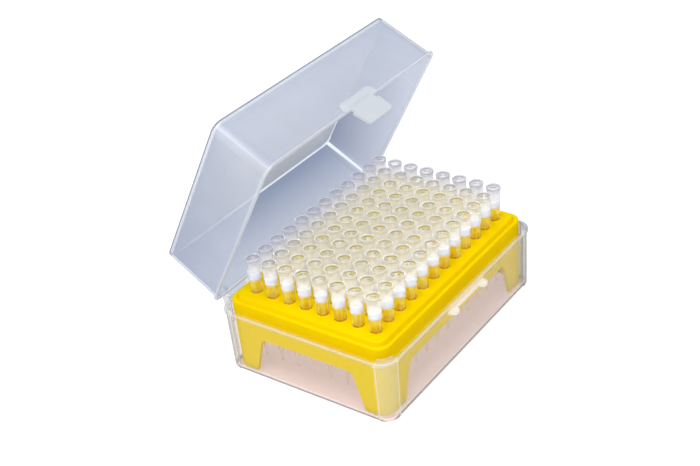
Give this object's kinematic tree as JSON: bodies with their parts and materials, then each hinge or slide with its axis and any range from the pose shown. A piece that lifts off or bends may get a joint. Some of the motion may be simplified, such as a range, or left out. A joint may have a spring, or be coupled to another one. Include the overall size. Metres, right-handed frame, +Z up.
{
  "type": "box of pipette tips",
  "caption": "Hinged clear plastic box holding a coloured rack of clear filter tips, with the lid standing open.",
  "frame": {"origin": "centre of the underside of the tub", "axes": "+Z up, +X along the twelve columns of tips, -Y towards the latch, +Y towards the hinge"},
  "size_m": [0.126, 0.1204, 0.1246],
  "materials": {
    "clear_tub": "clear moulded polypropylene, satin",
    "clear_lid": "translucent moulded polypropylene, satin",
    "yellow_rack": "opaque moulded polypropylene, satin",
    "clear_tip": "clear moulded polypropylene, polished",
    "filter": "white porous polyethylene"
  },
  "bodies": {
    "base": {"tub": "clear_tub", "rack": "yellow_rack", "tips_column_01": "clear_tip", "tips_column_02": "clear_tip", "tips_column_03": "clear_tip", "tips_column_04": "clear_tip", "tips_column_05": "clear_tip", "tips_column_06": "clear_tip", "tips_column_07": "clear_tip", "tips_column_08": "clear_tip", "tips_column_09": "clear_tip", "tips_column_10": "clear_tip", "tips_column_11": "clear_tip", "tips_column_12": "clear_tip", "filters_column_01": "filter", "filters_column_02": "filter", "filters_column_03": "filter", "filters_column_04": "filter", "filters_column_05": "filter", "filters_column_06": "filter", "filters_column_07": "filter", "filters_column_08": "filter", "filters_column_09": "filter", "filters_column_10": "filter", "filters_column_11": "filter", "filters_column_12": "filter"},
    "lid": {"lid": "clear_lid"}
  },
  "joints": [
    {"name": "lid_hinge", "type": "hinge", "parent": "base", "child": "lid", "pos_m": [0, 0.0475, 0.0306], "axis": [-1, 0, 0], "range_deg": [-61, 49]}
  ]
}
